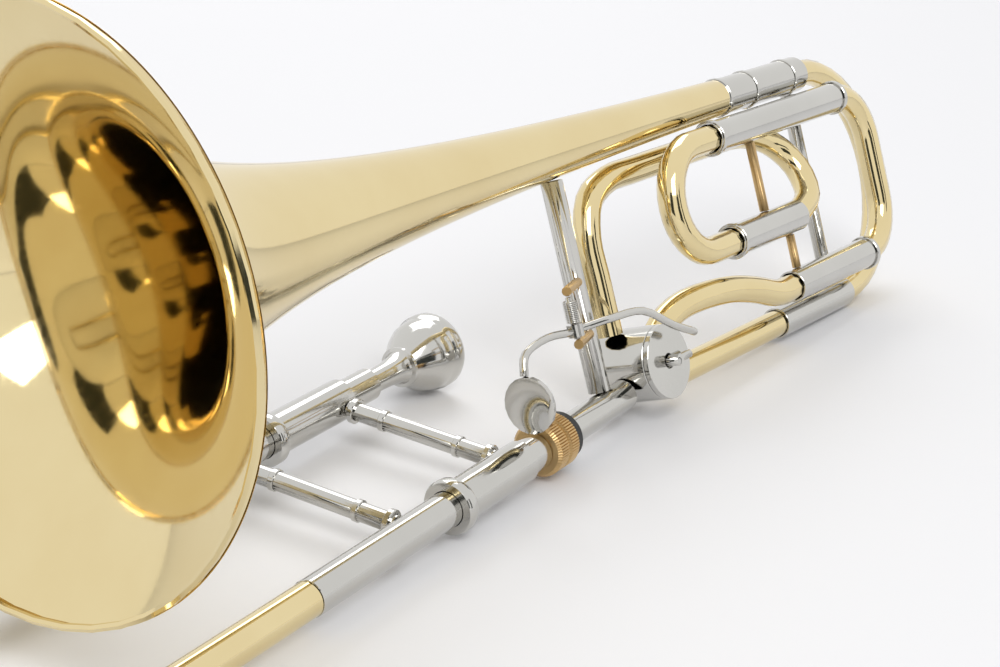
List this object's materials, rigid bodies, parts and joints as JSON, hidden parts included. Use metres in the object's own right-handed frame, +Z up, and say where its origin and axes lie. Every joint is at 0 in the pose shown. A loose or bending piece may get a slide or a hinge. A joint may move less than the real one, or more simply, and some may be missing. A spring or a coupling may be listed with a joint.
{
  "type": "bass trombone",
  "caption": "Slide trombone with a wide bell, a double-tube slide, a thumb-operated rotary valve and an extra loop of tubing.",
  "frame": {"origin": "on the table plane, under the middle of the bounding box", "axes": "X along the slide towards the player, Y across the two slide tubes, Z up"},
  "size_m": [1.158, 0.2406, 0.2683],
  "materials": {
    "lacquered_brass": "clear-lacquered, polished",
    "nickel": "polished nickel silver",
    "raw_brass": "satin",
    "rubber": "matte"
  },
  "bodies": {
    "body": {"mouthpiece_receiver": "nickel", "inner_tube_bell_side": "nickel", "cork_barrel_bell_side": "nickel", "inner_tube_mouthpiece_side": "nickel", "cork_barrel_mouthpiece_side": "nickel", "inner_brace": "nickel", "slide_tenon": "nickel", "neck_ring": "rubber", "neck_pipe": "nickel", "bell": "lacquered_brass", "bell_rim_wire": "lacquered_brass", "bell_tail_sleeve": "nickel", "valve_outlet_tube": "lacquered_brass", "lower_leg": "nickel", "f_top_leg": "nickel", "f_middle_leg": "nickel", "f_lower_leg": "nickel", "f_riser": "lacquered_brass", "f_return_pipe": "lacquered_brass", "valve_casing": "nickel", "valve_back_cap": "nickel", "valve_stop_plate": "nickel", "lever_saddle_upper": "raw_brass", "lever_saddle_lower": "raw_brass", "lever_hinge_rod": "nickel", "lever_spring": "nickel", "bell_brace": "nickel", "rear_brace": "nickel", "f_upper_brace": "lacquered_brass", "f_lower_brace": "lacquered_brass"},
    "outer_slide": {"slide_sleeve_bell_side": "nickel", "slide_sleeve_mouthpiece_side": "nickel", "outer_tube_bell_side": "lacquered_brass", "outer_tube_mouthpiece_side": "lacquered_brass", "slide_crook": "nickel", "hand_brace": "nickel", "slide_bumper": "nickel"},
    "main_bow": {"main_tuning_bow": "lacquered_brass"},
    "f_front_bow": {"f_tuning_bow": "lacquered_brass"},
    "f_back_bow": {"f_rear_bow": "lacquered_brass"},
    "thumb_lever": {"lever_hub": "nickel", "lever_arm": "nickel", "thumb_bar": "nickel", "thumb_plate": "nickel"},
    "rotor": {"valve_rotor": "nickel", "rotor_spindle": "nickel", "stop_arm": "nickel"},
    "mouthpiece_body": {"mouthpiece": "nickel"},
    "lock_nut": {"slide_lock_nut": "raw_brass"}
  },
  "joints": [
    {"name": "slide_travel", "type": "slide", "parent": "body", "child": "outer_slide", "axis": [-1, 0.0002, -0.0095], "range_m": [0, 0.56]},
    {"name": "main_tuning", "type": "slide", "parent": "body", "child": "main_bow", "axis": [0.9975, -0.0633, -0.0307], "range_m": [0, 0.045]},
    {"name": "f_front_tuning", "type": "slide", "parent": "body", "child": "f_front_bow", "axis": [-0.9975, 0.0633, 0.0307], "range_m": [0, 0.035]},
    {"name": "f_rear_tuning", "type": "slide", "parent": "body", "child": "f_back_bow", "axis": [0.9975, -0.0633, -0.0307], "range_m": [0, 0.03]},
    {"name": "lever_turn", "type": "hinge", "parent": "body", "child": "thumb_lever", "pos_m": [0.21785, -0.06166, 0.07168], "axis": [-0.051, -0.3489, -0.9358], "range_deg": [0, 6]},
    {"name": "rotor_turn", "type": "hinge", "parent": "body", "child": "rotor", "pos_m": [0.28642, -0.06509, 0.02648], "axis": [-0.0486, -0.935, 0.3512], "range_deg": [0, 90]},
    {"name": "mouthpiece_pull", "type": "slide", "parent": "body", "child": "mouthpiece_body", "axis": [1, -0.0002, 0.0095], "range_m": [0, 0.03]},
    {"name": "lock_nut_turn", "type": "hinge", "parent": "body", "child": "lock_nut", "pos_m": [0.18191, -0.06673, 0.01588], "axis": [1, -0.0002, 0.0095], "continuous": true}
  ],
  "couplings": [
    {"joint": "rotor_turn", "follows": "lever_turn", "ratio": 15}
  ]
}
